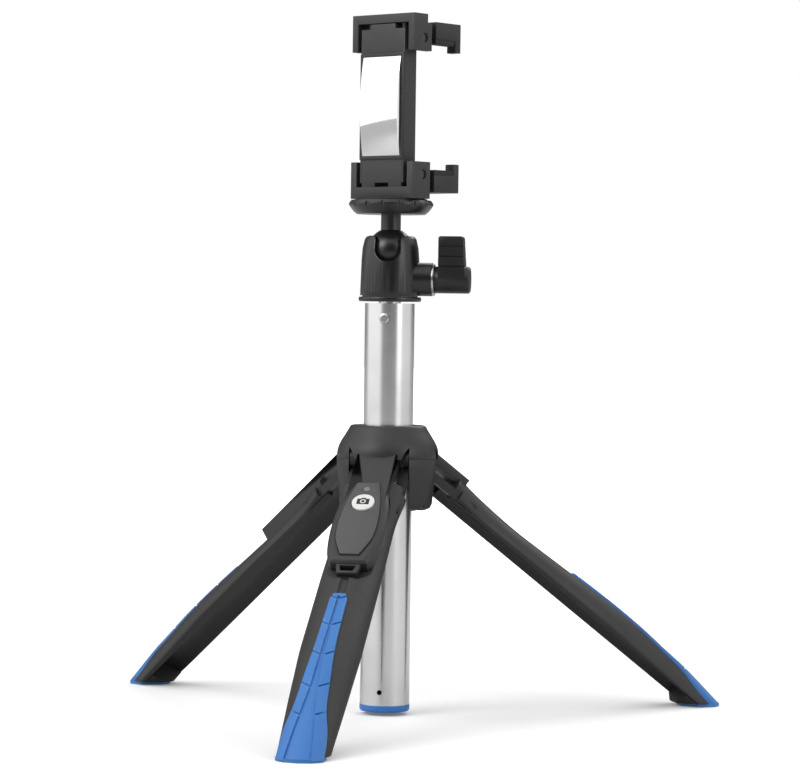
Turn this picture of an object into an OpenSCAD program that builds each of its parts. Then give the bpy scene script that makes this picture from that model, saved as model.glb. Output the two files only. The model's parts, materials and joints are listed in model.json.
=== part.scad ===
// Mini tripod selfie stick: a telescopic pole slides through a hub with three
// folding legs, and carries a ball head and a sprung phone clamp with a mirror.
// Origin: on the floor, under the pole's axis. +Z is up, the front leg points to -Y.

/* [Pole] */
// Outside diameter of the widest tube
tube_d = 20; // [18:0.1:24]
// Wall of every tube
tube_wall = 0.8; // [0.7:0.05:0.9]
// Gap between one tube and the next
tube_gap = 0.6; // [0.5:0.05:0.7]
// Height of the pole's end above the floor
pole_lift = 1.3; // [0.8:0.1:2]
// Height of the coloured foot plug's rim
plug_rim_h = 2.7; // [2:0.1:4]
// Length of each guide bush in a tube's mouth
bush_h = 9; // [6:0.5:12]
// Length of each guide sleeve at a tube's lower end
sleeve_h = 5; // [4:0.5:8]

/* [Legs] */
// Length of a leg from its pivot to the floor
leg_length = 167.7; // [138:0.1:205]
// Angle of an open leg from the vertical
leg_open_angle = 52; // [45:1:58]
// Width of a leg's widest stretch
leg_w = 24; // [23:0.2:27]
// Thickness of a leg over the tube, at its thickest
leg_t = 6.2; // [5:0.1:8]
// Width of the neck that shows in the hub's slot
neck_w = 15.4; // [13:0.2:17]
// Radius of a leg's pivot pin
pin_r = 1.2; // [1:0.05:1.4]
// Width of the coloured grip at its upper end
grip_top_w = 6.7; // [5:0.1:9]
// Width of the coloured grip at the toe
grip_toe_w = 18; // [15:0.5:19]
// Thickness of the coloured grip
grip_t = 1.6; // [1.2:0.1:2]
// Height of the heel above the sole
heel_h = 15.9; // [14:0.1:18]

/* [Hub] */
// Radial depth of the hub around the tube
hub_depth = 10.5; // [10.2:0.1:12]
// Height of the domed cap above the pivots
cap_h = 13.2; // [12:0.1:16]
// Height of the lobes below the pivots
lobe_h = 20.5; // [18:0.1:24]

/* [Remote] */
// Length of the remote's body
remote_l = 47; // [44:0.5:52]
// Width of the remote's body at its widest
remote_w = 21.5; // [20:0.1:23]
// Thickness of the remote, without its button
remote_t = 6; // [5.5:0.1:7]
// Diameter of the remote's button
remote_button_d = 9; // [8:0.1:10]

/* [Ball head] */
// Diameter of the ball
ball_d = 18.6; // [17:0.1:20]
// Wall of the ball's housing
housing_wall = 2.72; // [2.2:0.01:3.5]
// Height of the ball's centre above the flange's top
ball_rise = 18.5; // [17.5:0.1:22]
// Diameter of the ball's stem
stem_d = 8; // [7:0.1:9]
// Reach of the knob's wing from the knob's axis
wing_reach = 17.5; // [14:0.5:17.5]
// Diameter of the thumb ring under the clamp
ring_d = 33.9; // [30:0.1:36]
// Height of the thumb ring
ring_h = 5.6; // [5:0.1:8]
// Diameter of the camera screw
screw_d = 6.2; // [6:0.05:6.35]

/* [Clamp] */
// Gap between the closed jaws
phone_gap = 50; // [45:0.5:60]
// Width of the clamp's body
body_w = 22.8; // [21:0.2:26]
// Depth of the clamp's body
body_t = 7.3; // [7.1:0.1:9]
// Side wall of a bracket
ear_t = 2.9; // [2.4:0.1:3.5]
// Room for an arm's root between a bracket and the body
root_gap = 1.9; // [1.8:0.05:2.5]
// Reach of the arms behind the clamp's front face
arm_reach = 29.2; // [26:0.1:34]
// Direction that the clamp faces, from the front leg
clamp_yaw = -28; // [-180:1:180]
// Direction that the head's slot faces, from the front leg
head_yaw = 5.5; // [-180:0.5:180]

/* [Hidden] */
$fn = 64;
eps = 0.01;
far = 80;              // longer than any cut has to reach

// Clearances
run_gap = 0.05;        // radial clearance of a running fit
set_gap = 0.02;        // clearance of a pressed or glued fit
glue_gap = 0.22;       // clearance of a strip in its groove
free_gap = 0.35;       // between pieces that pass each other
channel_gap = 0.45;    // between the tube and a folded leg

// Colours
charcoal = [0.23, 0.225, 0.225];
satin_black = [0.13, 0.13, 0.13];
bright_blue = [0.22, 0.5, 0.78];
silver = [0.75, 0.75, 0.76];
grey = [0.45, 0.45, 0.46];

// Legs
tube_r = tube_d / 2;
channel_r = tube_r + channel_gap;
pin_offset = tube_r + 2;
pivot_z = leg_length * cos(leg_open_angle);
leg_azimuths = [0, 120, -120];
sector = 60;                       // half of the angle that a folded leg fills
side_gap = 0.25;                   // from a leg's side face to the sector's plane
liner_t = 1.55;
liner_r = channel_r + liner_t;
liner_sector = 54;
knuckle_r = 5.6;
knuckle_top = 55;                  // how far up the knuckle's barrel wraps
cheek_r = 4.2;
cheek_in = tube_r - 1.2;
cheek_out = tube_r + 2;
shoulder_s = lobe_h - 2.8;         // where a leg widens below the lobes
arch_power = 2.3;
flank_steps = 6;
sole_t = 1.2;
heel_tip = 2;                      // distance from the pole's axis to a heel's point
// Share of the leg's length, then the half width and the thickness over the tube
leg_stations = [
    [0.09, leg_w / 2 + 2.5, leg_t + 0.65],
    [0.15, leg_w / 2 + 0.9, leg_t - 0.75],
    [0.21, leg_w / 2 - 0.3, leg_t - 1.45],
    [0.305, leg_w / 2 - 0.2, leg_t - 1.95],
    [0.4, leg_w / 2, leg_t - 1.45],
    [0.5, leg_w / 2, leg_t - 0.7],
    [0.58, leg_w / 2, leg_t - 0.2],
    [0.65, leg_w / 2, leg_t],
    [0.73, leg_w / 2 - 0.5, leg_t - 0.2],
    [0.8, leg_w / 2 - 0.9, leg_t - 0.9],
    [0.87, leg_w / 2 - 1.4, leg_t - 1.4],
    [0.95, leg_w / 2 - 1.9, leg_t - 2.8],
    [1.05, leg_w / 2 - 2.2, leg_t - 4.8]];
grip_start = 0.498;
// Share of the leg's length, then the grip's half width
grip_stations = [
    [grip_start - 0.004, 1.7],
    [grip_start, grip_top_w / 2],
    [0.67, grip_top_w / 2 + 0.7],
    [0.775, grip_top_w / 2 + 2],
    [0.85, grip_toe_w / 2 - 2.6],
    [0.9, grip_toe_w / 2 - 0.7],
    [1.05, grip_toe_w / 2]];

// Hub
hub_r = tube_r + hub_depth;
slot_half = cheek_out + 0.3;
pocket_r = knuckle_r + 0.4;
pin_half = slot_half + 1.7;
cap_top_z = pivot_z + cap_h;
lobe_bottom_z = pivot_z - lobe_h;
bush_r = tube_r + 1.3;
bush_z = pivot_z + pocket_r + 0.4;
hub_screw_r = 1;
hub_screw_at = slot_half / sin(sector) + 3.1;
keyway_w = 4.8;

// Pole: the folded legs just hold the tube between the heels and the hub's top
heel_s = leg_length - heel_h;
flange_gap = 0.7;                  // from the tube's top to the head's flange
stow_gap = 0.3;
heel_clearance = 0.5;
heel_corner = 2.4;                 // chamfer that keeps the heel clear of the grip
tube_l = heel_s - heel_clearance + cap_h - stow_gap - flange_gap + 0.6;
tube_top_z = pole_lift + tube_l;
tube_step = tube_wall + tube_gap;
tube_count = 5;
inner_bottom_z = pole_lift + 12.7;
foot_hole_z = pole_lift + 8.1;
button_z = tube_top_z - 6;
button_r = 2.05;

// Ball head
flange_z = tube_top_z + flange_gap;
flange_t = 1.9;
flange_r = 12.6;
head_z = flange_z + flange_t + 0.5;
ball_r = ball_d / 2;
cavity_r = ball_r + run_gap;
housing_r = cavity_r + housing_wall;
ball_z = flange_z + flange_t + ball_rise;
housing_top_z = ball_z + 6;
slot_r = stem_d / 2 + 1.15;
knob_z = head_z + 6.6;
boss_r = 7.1;
boss_end = housing_r + 5;
washer_t = 0.9;
knob_start = boss_end + washer_t + 0.2;
knob_l = 14.2;
knob_r = 5.4;
stud_r = 2;
stud_grip = 10;                    // how far the stud reaches into the knob
cup_z = head_z + 2.5;
ring_z = ball_z + 14.7;
pad_t = 0.6;
pad_z = ring_z + ring_h;

// Clamp
bracket_z = pad_z + pad_t;
face_y = -6.3;                     // front face of the clamp, from the pole's axis
body_half = body_w / 2;
ear_in = body_half + root_gap;
ear_out = ear_in + ear_t;
pivot_rise = phone_gap / 2 + 2.2;  // from the clamp's middle to an arm's pivot
jaw_half = pivot_rise + 9.6;
mid_z = bracket_z + jaw_half;
ear_l = 14.7;
ear_depth = 11;
bar_t = 3.5;
base_t = 4.6;
arm_pivot_y = face_y + 6.75;
arm_l = arm_reach - 6.75;
arm_root = 1.5;
arm_start = 6.95;                  // where an arm becomes thick, from its pivot
arm_high = 6.8;
plate_low = 0.85 + body_t - 7.3;
lip_t = 3.2;
lip_low = -4.8;
tooth_low = -2.2;
tooth_pitch = 1.9;
stub_r = 1.3;
rod_r = 1.5;
rod_x = body_half - 2.8;
rod_y = face_y + body_t / 2;
spring_r = 2.1;
wire_r = 0.35;
spring_turns = 14;
mirror_w = body_w - 3.1;
mirror_h = 39.6;
mirror_bulge = 1.9;
body_bottom_z = mid_z - jaw_half + base_t + 1.7;
body_top_z = mid_z + jaw_half - bar_t - 2.4;

// ---------- general shapes ----------

// A closed solid through rings that all have the same number of points
module skin(rings) {
    n = len(rings[0]);
    m = len(rings);
    points = [for (ring = rings) each ring];
    sides = [for (i = [0 : m - 2], j = [0 : n - 1])
        each [[i * n + j, (i + 1) * n + j, i * n + (j + 1) % n],
            [i * n + (j + 1) % n, (i + 1) * n + j, (i + 1) * n + (j + 1) % n]]];
    first = [[for (j = [0 : n - 1]) j]];
    last = [[for (j = [n - 1 : -1 : 0]) (m - 1) * n + j]];
    polyhedron(points = points, faces = concat(sides, first, last), convexity = 8);
}

module tube(r_out, r_in, z_low, z_high) {
    translate([0, 0, z_low])
        difference() {
            cylinder(r = r_out, h = z_high - z_low);
            translate([0, 0, -eps]) cylinder(r = r_in, h = z_high - z_low + 2 * eps);
        }
}

// A cylinder along X, centred on the origin
module rod_x_axis(r, half) {
    rotate([0, 90, 0]) cylinder(r = r, h = 2 * half, center = true);
}

// A box between two opposite corners
module block(low, high) {
    translate(low) cube(high - low);
}

// ---------- legs: x across the leg, -y outwards, -z down the folded leg ----------

module place_leg(azimuth) {
    rotate([0, 0, azimuth])
        translate([0, -pin_offset, pivot_z])
            rotate([-leg_open_angle, 0, 0])
                translate([0, pin_offset, 0])
                    children();
}

function column(table, i) = [for (row = table) [row[0], row[i]]];
function half_width(k) = lookup(k, column(leg_stations, 1)) + tube_r - 10;
function crest(k) = channel_r + lookup(k, column(leg_stations, 2));
function side_low(k) = half_width(k) / tan(sector) + side_gap / sin(sector);
function arch(x, k) = side_low(k) + (crest(k) - side_low(k))
    * pow(max(0, 1 - pow(abs(x) / half_width(k), arch_power)), 1 / arch_power);
function grip_half(k) = lookup(k, column(grip_stations, 1));
function groove_t(k) = k < grip_start ? 0.4 : grip_t;

// Section of a leg: its two flanks, and the groove that holds the grip along the crest
function flank_x(k, i) = let (g = grip_half(k), w = half_width(k), a = 90 * i / flank_steps)
    g + (w - g) * cos(a);
function leg_ring(k) = concat(
    [[0, -side_gap / sin(sector), -k * leg_length]],
    [for (i = [0 : flank_steps]) let (x = flank_x(k, i)) [x, -arch(x, k), -k * leg_length]],
    [for (i = [4 : -1 : -4]) let (x = grip_half(k) * i / 4)
        [x, -arch(x, k) + groove_t(k), -k * leg_length]],
    [for (i = [flank_steps : -1 : 0]) let (x = flank_x(k, i)) [-x, -arch(x, k), -k * leg_length]]);
function grip_ring(k, low, high) = concat(
    [for (i = [-4 : 4]) let (x = (grip_half(k) - glue_gap) * i / 4)
        [x, -arch(x, k) - high, -k * leg_length]],
    [for (i = [4 : -1 : -4]) let (x = (grip_half(k) - glue_gap) * i / 4)
        [x, -arch(x, k) - low, -k * leg_length]]);
grip_stops = concat([grip_start],
    [for (row = leg_stations) if (row[0] > grip_start + 0.01) row[0]]);
leg_stops = concat([for (row = leg_stations) if (row[0] < grip_start) row[0]],
    [grip_start - 0.004],
    grip_stops);

// The whole outer form of a leg below the hub's lobes
module leg_form() {
    difference() {
        skin([for (k = leg_stops) leg_ring(k)]);
        block([-far, -far, -shoulder_s], [far, far, 1]);
    }
}

// The coloured strip along the crest, from low to high over the leg's surface
module grip_strip(low, high) {
    n = len(grip_stops);
    skin([for (i = [n - 1 : -1 : 0]) grip_ring(grip_stops[i], low, high)]);
}

// Everything below the floor of an open leg, lifted by a distance
module under_floor(lift) {
    translate([0, -pin_offset, -leg_length])
        rotate([leg_open_angle, 0, 0])
            translate([0, 0, lift - far / 2])
                cube([far, 2 * far, far], center = true);
}

// A ring sector around the tube, open to one side of the leg's middle plane
module channel_sector(r_in, r_out, half_angle, s_low, s_high) {
    translate([0, 0, -s_high])
        rotate([0, 0, -90 - half_angle])
            rotate_extrude(angle = 2 * half_angle)
                translate([r_in, 0]) square([r_out - r_in, s_high - s_low]);
}

module neck() {
    // barrel around the pin, open towards the tube; the cheeks carry the pin's load
    wrap = [for (i = [0 : 5]) knuckle_top * i / 5];
    inner_r = pin_r + free_gap;
    translate([neck_w / 2, -pin_offset, 0])
        rotate([0, -90, 0])
            linear_extrude(neck_w)
                polygon(concat(
                    [[-shoulder_s - 4, -knuckle_r], [-2, -knuckle_r]],
                    [for (a = wrap) [knuckle_r * sin(a), -knuckle_r * cos(a)]],
                    [for (i = [5 : -1 : 0]) [inner_r * sin(wrap[i]), -inner_r * cos(wrap[i])]],
                    [[-shoulder_s - 4, -inner_r]]));
}

module liner_cuts() {
    translate([0, 0, -1.1 * leg_length]) cylinder(r = channel_r, h = 1.2 * leg_length);
    channel_sector(channel_r - 1, liner_r + set_gap, liner_sector, shoulder_s - 1, heel_s + far);
    for (side = [-1, 1]) bar_cut(side);
}

module bar_cut(side) {
    x_low = side > 0 ? cheek_in - set_gap : -cheek_out - set_gap;
    x_high = side > 0 ? cheek_out + set_gap : -cheek_in + set_gap;
    block([x_low, -pin_offset + 1.4, -bar_end - set_gap], [x_high, -pin_offset + 5.2, 1]);
}

bar_end = shoulder_s + 12;

// Room beside the leg's shoulder for the hub's lobes, when the leg is folded
module lobe_space(side) {
    near = slot_half - 0.3;
    block([side > 0 ? near : -far, -far, -lobe_h - 0.4], [side > 0 ? far : -near, far, 1]);
}

module leg_shell(with_remote) {
    color(charcoal)
        difference() {
            union() {
                leg_form();
                neck();
            }
            liner_cuts();
            for (side = [-1, 1]) lobe_space(side);
            heel_space(set_gap);
            under_floor(sole_t);
            if (with_remote) remote_recess();
        }
}

module leg_liner() {
    color(charcoal * 0.8)
        difference() {
            union() {
                channel_sector(channel_r, liner_r, liner_sector, shoulder_s, heel_s + 1);
                for (side = [-1, 1]) {
                    cheek(side);
                    bar(side);
                }
                heel_space(0);
            }
            under_floor(sole_t);
            translate([0, -pin_offset, 0]) rod_x_axis(pin_r + run_gap, cheek_out + 1);
            translate([0, 0, -heel_s]) cylinder(r = channel_r, h = leg_length);
        }
}

module cheek(side) {
    translate([side * (cheek_in + cheek_out) / 2, -pin_offset, 0])
        rod_x_axis(cheek_r, (cheek_out - cheek_in) / 2);
}

module bar(side) {
    x_low = side > 0 ? cheek_in : -cheek_out;
    block([x_low, -pin_offset + 1.5, -bar_end],
        [x_low + cheek_out - cheek_in, -pin_offset + 5, 0]);
}

// The heel: a wedge that closes under the tube when the legs are folded
module heel_space(grow) {
    tip = heel_tip - grow;
    root = channel_r + 0.2 + grow;
    reach = (root - side_gap / sin(sector)) * tan(sector);
    near = (tip - side_gap / sin(sector)) * tan(sector);
    edge = min(reach, leg_w / 2 + tube_r - 10 - 3.4 + grow);
    edge_y = edge / tan(sector) + side_gap / sin(sector);
    translate([0, 0, -1.15 * leg_length])
        linear_extrude(0.15 * leg_length + heel_h + grow)
            polygon([[-near, -tip], [near, -tip], [edge, -edge_y], [edge, heel_corner - root],
                [edge - 1.6 * heel_corner, -root], [1.6 * heel_corner - edge, -root],
                [-edge, heel_corner - root], [-edge, -edge_y]]);
}

// Distance from the pole's axis where a line down the folded leg meets the floor when open
function floor_reach(v) = pin_offset + leg_length * sin(leg_open_angle)
    + (v - pin_offset) / cos(leg_open_angle);

// The flat sole, as it lies under an open leg
module sole() {
    wide = grip_toe_w / 2;
    back = [2.4, -floor_reach(heel_tip + 0.4)];
    side_back = [wide - 0.4, -floor_reach(wide / tan(sector) + 0.6)];
    side_front = [wide, -floor_reach(channel_r - 0.6)];
    toe = [wide * 0.6, -floor_reach(channel_r + leg_t - 4.6)];
    tip = [0, -floor_reach(channel_r + leg_t - 3.9)];
    right = [back, side_back, side_front, toe];
    translate([0, -pin_offset, 0])
        rotate([leg_open_angle, 0, 0])
            translate([0, pin_offset, -pivot_z])
                linear_extrude(sole_t - set_gap)
                    polygon(concat(right, [tip], [for (i = [3 : -1 : 0]) [-right[i][0], right[i][1]]]));
}

module leg_grip() {
    color(bright_blue) {
        difference() {
            grip_strip(-grip_t + glue_gap, 0.3);
            under_floor(sole_t - 0.5);
        }
        sole();
    }
}

// ---------- hub ----------

module for_each_leg() {
    for (azimuth = leg_azimuths) rotate([0, 0, azimuth]) children();
}

module pin_holes(extra) {
    for_each_leg()
        translate([0, -pin_offset, pivot_z]) rod_x_axis(pin_r + extra, pin_half);
}

// Room that the knuckle and the open leg's neck take from the cap
module leg_pocket() {
    translate([0, -pin_offset, pivot_z]) {
        rod_x_axis(pocket_r, slot_half);
        rotate([-leg_open_angle, 0, 0])
            block([-neck_w / 2 - free_gap, -pocket_r, -far], [neck_w / 2 + free_gap, 0, 0]);
    }
    block([-slot_half, -pin_offset, pivot_z - 1], [slot_half, -tube_r + 2, pivot_z + pocket_r]);
}

module hub_cap() {
    color(charcoal)
        difference() {
            rotate_extrude()
                polygon([[tube_r + 0.6, pivot_z], [hub_r, pivot_z], [hub_r, pivot_z + 1.7],
                    [hub_r - 0.8, pivot_z + 4.7], [hub_r - 2.9, pivot_z + 8.2],
                    [hub_r - 5.4, cap_top_z - 0.6], [hub_r - 6, cap_top_z],
                    [tube_r + 0.6, cap_top_z]]);
            for_each_leg() leg_pocket();
            translate([0, 0, bush_z]) cylinder(r = bush_r + set_gap, h = cap_h);
            pin_holes(set_gap);
            hub_screw_bores(0);
        }
}

module hub_screw_bores(extra) {
    for (azimuth = leg_azimuths)
        rotate([0, 0, azimuth + sector])
            translate([0, -hub_screw_at, pivot_z - lobe_h])
                cylinder(r = hub_screw_r + extra, h = lobe_h + 5.5);
}

module hub_lobes() {
    color(charcoal)
        difference() {
            rotate_extrude()
                polygon([[tube_r + 1, lobe_bottom_z], [hub_r - 3.4, lobe_bottom_z],
                    [hub_r - 1.8, lobe_bottom_z + 0.8], [hub_r - 1.1, lobe_bottom_z + 2.6],
                    [hub_r, pivot_z - 4], [hub_r, pivot_z], [tube_r + 1, pivot_z]]);
            for_each_leg()
                block([-slot_half, -far, lobe_bottom_z - 1], [slot_half, 0, pivot_z + 1]);
            pin_holes(set_gap);
            hub_screw_bores(run_gap);
            for (azimuth = leg_azimuths)
                rotate([0, 0, azimuth + sector])
                    translate([0, -hub_screw_at, lobe_bottom_z - eps]) cylinder(r = 2, h = 2);
        }
}

module hub_bush() {
    color(grey)
        difference() {
            tube(bush_r, tube_r + run_gap, bush_z, cap_top_z - 0.4);
            // keyway that lets the tube's button pass
            block([-keyway_w / 2, -tube_r - 0.7, bush_z - 1],
                [keyway_w / 2, -tube_r + 1, cap_top_z + 1]);
        }
}

module hub_screws() {
    color(silver)
        for (azimuth = leg_azimuths)
            rotate([0, 0, azimuth + sector])
                translate([0, -hub_screw_at, lobe_bottom_z + 0.4]) {
                    cylinder(r = 1.9, h = 1.5);
                    translate([0, 0, 1.5]) cylinder(r = hub_screw_r - set_gap, h = lobe_h + 3);
                }
}

module leg_pins() {
    color(silver)
        for_each_leg()
            translate([0, -pin_offset, pivot_z]) rod_x_axis(pin_r, pin_half - 0.1);
}

// ---------- remote, on the front leg ----------

remote_s = shoulder_s + 2;          // where the remote starts, down the leg
remote_low = liner_r + 0.8;         // bottom of the remote, from the pole's axis
remote_mid = 0.53;
remote_end_w = [0.58, 0.8];         // widths of the two ends, as shares of the middle's
remote_split = 2.6;
plate_t = 0.7;
loop_l = 5;
function remote_half(k) = k < remote_mid
    ? remote_w / 2 * (remote_end_w[0] + (1 - remote_end_w[0]) * sin(90 * k / remote_mid))
    : remote_w / 2 * (remote_end_w[1]
        + (1 - remote_end_w[1]) * cos(90 * (k - remote_mid) / (1 - remote_mid)));
remote_steps = 12;
// Outline in the plane of the leg: x across, y up the leg
function remote_outline(grow, l) = concat(
    [for (i = [0 : remote_steps]) let (k = i / remote_steps)
        [remote_half(k) + grow, -remote_s + grow - k * (l + 2 * grow)]],
    [for (i = [remote_steps : -1 : 0]) let (k = i / remote_steps)
        [-remote_half(k) - grow, -remote_s + grow - k * (l + 2 * grow)]]);

// The same outline with the lanyard's loop below it
function remote_loop_outline() = concat(
    [for (i = [0 : remote_steps]) remote_outline(0, remote_l)[i]],
    [for (p = [[4.6, 0], [4.6, -loop_l], [-4.6, -loop_l], [-4.6, 0]]) p - [0, remote_s + remote_l]],
    [for (i = [remote_steps + 1 : 2 * remote_steps + 1]) remote_outline(0, remote_l)[i]]);

// Extrudes an outline outwards from a leg, between two distances from the pole's axis
module outwards(low, high) {
    translate([0, -low, 0]) rotate([90, 0, 0]) linear_extrude(high - low) children();
}

module remote_recess() {
    outwards(remote_low - 0.3, remote_low + far / 2)
        union() {
            polygon(remote_outline(free_gap, remote_l));
            translate([-7, -remote_s - remote_l - loop_l - 1]) square([14, loop_l + 4]);
        }
}

module remote_case_base() {
    color(charcoal)
        place_leg(0)
            difference() {
                outwards(remote_low, remote_low + remote_split)
                    difference() {
                        polygon(remote_loop_outline());
                        translate([-2.6, -remote_s - remote_l - loop_l + 1.5])
                            square([5.2, 2.7]);
                    }
                outwards(remote_low + 0.9, remote_low + remote_split + 1)
                    offset_outline(-1.3);
            }
}

// The remote's outline drawn in by a wall
module offset_outline(grow) {
    polygon(remote_outline(grow, remote_l));
}

module remote_case_top() {
    top = remote_low + remote_t - plate_t;
    color(charcoal)
        place_leg(0)
            difference() {
                outwards(remote_low + remote_split, top) offset_outline(0);
                outwards(remote_low + remote_split - 1, top - 1) offset_outline(-1.3);
                button_hole(0.25);
                led_hole(0);
            }
}

button_s = remote_s + 14.5;
led_s = remote_s + 6.5;

module button_hole(extra) {
    translate([0, -remote_low - 3, -button_s])
        rotate([90, 0, 0]) cylinder(r = remote_button_d / 2 + extra, h = far / 4);
}

module led_hole(extra) {
    translate([0, -remote_low - 3, -led_s])
        rotate([90, 0, 0]) cylinder(r = 1.25 + extra, h = far / 4);
}

module remote_face_plate() {
    top = remote_low + remote_t;
    color(grey * 0.7)
        place_leg(0)
            difference() {
                outwards(top - plate_t, top) offset_outline(-2.4);
                button_hole(0.25);
                led_hole(0);
            }
}

module remote_circuit_board() {
    color([0.1, 0.35, 0.2])
        place_leg(0)
            outwards(remote_low + 2.7, remote_low + 3.5) offset_outline(-1.8);
}

module remote_coin_cell() {
    color(silver)
        place_leg(0)
            translate([0, -remote_low - 1, -remote_s - remote_l * 0.62])
                rotate([90, 0, 0]) cylinder(r = 7.5, h = 1.6);
}

module remote_led() {
    color([0.8, 0.8, 0.82])
        place_leg(0)
            translate([0, -remote_low - 3.5, -led_s])
                rotate([90, 0, 0]) cylinder(r = 1.25 - set_gap, h = remote_t - 3.5 + 0.1);
}

module remote_button() {
    color([0.92, 0.92, 0.9])
        place_leg(0)
            translate([0, -remote_low - 4.1, -button_s])
                rotate([90, 0, 0]) cylinder(r = remote_button_d / 2, h = remote_t - 4.1 + 0.7);
}

// ---------- pole ----------

function section_r(i) = tube_r - (i - 1) * tube_step;

module pole_tube(i) {
    low = i == 1 ? pole_lift + plug_rim_h : inner_bottom_z;
    high = i == tube_count ? flange_z : tube_top_z;
    color(silver)
        difference() {
            tube(section_r(i), section_r(i) - tube_wall, low, high);
            if (i == 1) {
                radial_hole(button_r + 0.1, button_z);
                radial_hole(1, foot_hole_z);
            }
        }
}

module radial_hole(r, z) {
    translate([0, 0, z]) rotate([90, 0, 0]) cylinder(r = r, h = tube_r + 1);
}

// Guide bush in the tube's mouth, and sleeve round its lower end
module pole_bushes(i) {
    color(grey)
        difference() {
            union() {
                if (i < tube_count)
                    tube(section_r(i) - tube_wall - set_gap, section_r(i + 1) + run_gap,
                        tube_top_z - bush_h, tube_top_z - 0.2);
                if (i > 1)
                    tube(section_r(i - 1) - tube_wall - run_gap, section_r(i) + set_gap,
                        inner_bottom_z, inner_bottom_z + sleeve_h);
            }
            if (i == 1) radial_hole(button_r + 0.1, button_z);
        }
}

module pole_foot_plug() {
    plug_r = tube_r - tube_wall - set_gap;
    color(bright_blue)
        difference() {
            union() {
                translate([0, 0, pole_lift]) cylinder(r1 = tube_r - 0.4, r2 = tube_r + 0.1, h = 0.6);
                translate([0, 0, pole_lift + 0.6])
                    cylinder(r = tube_r + 0.1, h = plug_rim_h - 0.6);
                translate([0, 0, pole_lift + plug_rim_h]) cylinder(r = plug_r, h = 8);
            }
            translate([0, 0, pole_lift + plug_rim_h + 1]) cylinder(r = plug_r - 1.5, h = far);
            radial_hole(1, foot_hole_z);
        }
}

module tube_button() {
    low = section_r(2) + 0.7;
    color(silver)
        translate([0, 0, button_z])
            rotate([90, 0, 0]) {
                translate([0, 0, low]) cylinder(r = button_r, h = tube_r - low);
                translate([0, 0, tube_r]) cylinder(r1 = button_r, r2 = button_r - 0.7, h = 0.35);
            }
}

module pole_top_plug() {
    inner = section_r(tube_count) - tube_wall - set_gap;
    color(grey)
        difference() {
            translate([0, 0, flange_z - 16]) cylinder(r = inner, h = 16);
            translate([0, 0, flange_z - 12]) cylinder(r = 1.5, h = 13);
        }
}

// ---------- ball head ----------

module head_screw() {
    color(silver) {
        translate([0, 0, flange_z - 11]) cylinder(r = 1.5 - set_gap, h = 11 + flange_t + 0.8);
        translate([0, 0, flange_z + flange_t + 0.8]) cylinder(r = 3, h = 1.6);
    }
}

module base_flange() {
    color(satin_black)
        difference() {
            union() {
                translate([0, 0, flange_z])
                    rotate_extrude()
                        polygon([[0, 0], [flange_r - 0.4, 0], [flange_r, 0.4],
                            [flange_r, flange_t - 0.3], [flange_r - 0.3, flange_t],
                            [cavity_r - run_gap, flange_t], [cavity_r - run_gap, flange_t + 2.6],
                            [0, flange_t + 2.6]]);
            }
            translate([0, 0, flange_z - 1]) cylinder(r = 1.5, h = 6);
            translate([0, 0, flange_z + flange_t + 0.8]) cylinder(r = 3 + set_gap, h = 3);
        }
}

module pan_washer() {
    color(grey)
        tube(housing_r - 0.9, cavity_r + 0.15, flange_z + flange_t + set_gap, head_z - set_gap);
}

module ball_housing() {
    color(satin_black)
        rotate([0, 0, head_yaw])
            difference() {
                union() {
                    rotate_extrude()
                        polygon([[0, head_z], [housing_r, head_z],
                            [housing_r - 0.45, ball_z - 3.5], [housing_r - 0.8, ball_z + 1],
                            [housing_r - 1.6, ball_z + 4.5], [housing_r - 2.3, ball_z + 5.6],
                            [housing_r - 3.4, housing_top_z], [0, housing_top_z]]);
                    translate([0, 0, knob_z])
                        rotate([0, 90, 0]) cylinder(r = boss_r - 0.3, h = boss_end);
                }
                translate([0, 0, ball_z]) sphere(r = cavity_r);
                translate([0, 0, head_z - boss_r]) cylinder(r = cavity_r, h = ball_z - head_z + boss_r);
                translate([0, 0, head_z - far]) cylinder(r = far, h = far);
                stem_slot();
                translate([0, 0, knob_z])
                    rotate([0, 90, 0]) cylinder(r = stud_r + run_gap, h = far);
            }
}

// The slot that the stem drops into
module stem_slot() {
    translate([0, 0, ball_z + 0.7]) {
        rotate([90, 0, 0]) cylinder(r = slot_r, h = far);
        block([-slot_r, -far, 0], [slot_r, 0, far]);
    }
}

module ball_cup() {
    color(grey)
        rotate([0, 0, head_yaw])
            difference() {
                translate([0, 0, cup_z + 0.7])
                    cylinder(r = cavity_r - run_gap, h = ball_z - 4.6 - cup_z - 0.7);
                translate([0, 0, ball_z]) sphere(r = cavity_r);
                translate([0, 0, knob_z])
                    rotate([0, 90, 0]) cylinder(r = stud_r + 0.3, h = far);
                translate([0, 0, cup_z - 1]) cylinder(r = 3.5, h = 4);
            }
}

module along_knob(start) {
    rotate([0, 0, head_yaw])
        translate([start, 0, knob_z]) rotate([0, 90, 0]) children();
}

module knob_washer() {
    color(silver)
        along_knob(boss_end + 0.05) tube(knob_r + 1.1, stud_r + run_gap, 0, washer_t);
}

module knob_stud() {
    color(silver)
        along_knob(cavity_r - 3.6) cylinder(r = stud_r, h = knob_start + stud_grip - cavity_r + 3.4);
}

module knob() {
    color(satin_black)
        difference() {
            union() {
                along_knob(knob_start) {
                    cylinder(r = knob_r, h = knob_l - 0.6);
                    translate([0, 0, knob_l - 0.6]) cylinder(r1 = knob_r, r2 = knob_r - 0.5, h = 0.6);
                }
                rotate([0, 0, head_yaw])
                    translate([knob_start, 0, knob_z])
                        wing();
            }
            along_knob(knob_start - 1) cylinder(r = stud_r + set_gap, h = stud_grip + 1);
        }
}

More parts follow.
